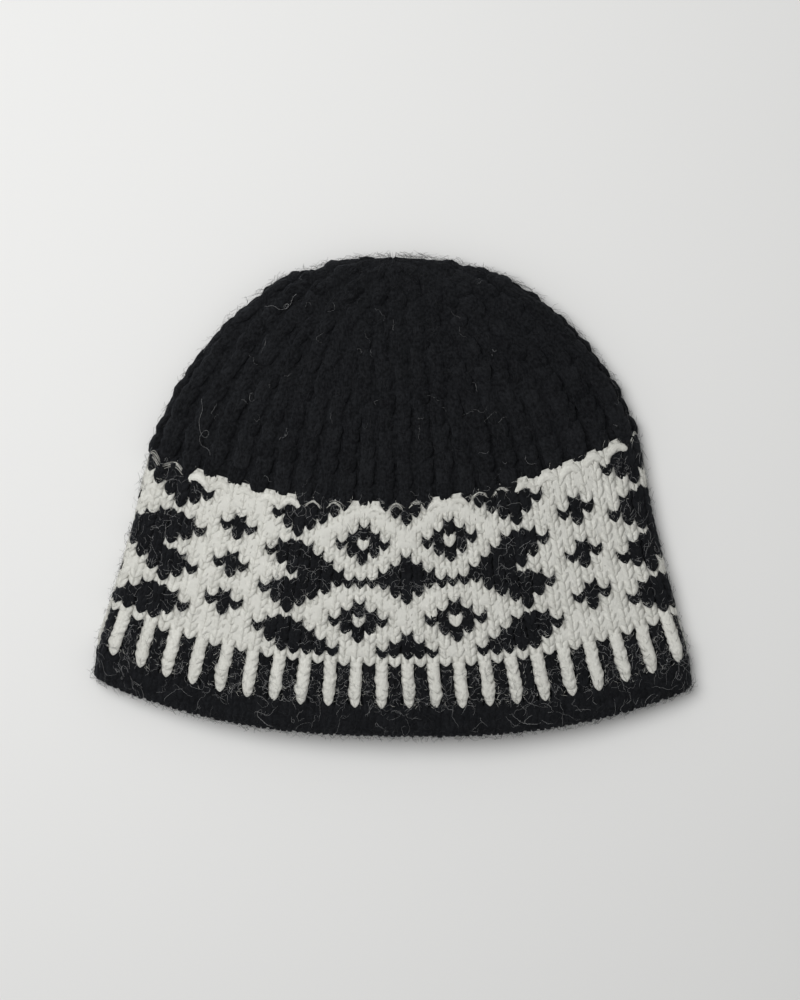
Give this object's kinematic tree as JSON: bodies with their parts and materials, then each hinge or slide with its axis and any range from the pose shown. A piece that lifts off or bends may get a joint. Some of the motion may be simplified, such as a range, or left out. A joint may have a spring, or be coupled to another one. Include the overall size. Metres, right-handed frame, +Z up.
{
  "type": "knit hat",
  "caption": "Thick knitted wool hat lying flat: black ribbed crown, black and cream patterned band, bars above a rolled black hem, open below for the head.",
  "frame": {"origin": "on the surface the hat lies on, under the middle of its bounding box", "axes": "+X to the hat's right as it is seen from above, +Y from the hem towards the gathered tip, +Z up from the surface"},
  "size_m": [0.2604, 0.2086, 0.0295],
  "materials": {
    "black_wool": "matte, hairy knitted wool, blue-black",
    "cream_wool": "matte knitted wool, warm cream, worked with the black in two-colour patterns"
  },
  "bodies": {
    "root": {"hem": "black_wool", "bar_border": "cream_wool", "patterned_band": "cream_wool", "crown": "black_wool"}
  },
  "joints": []
}
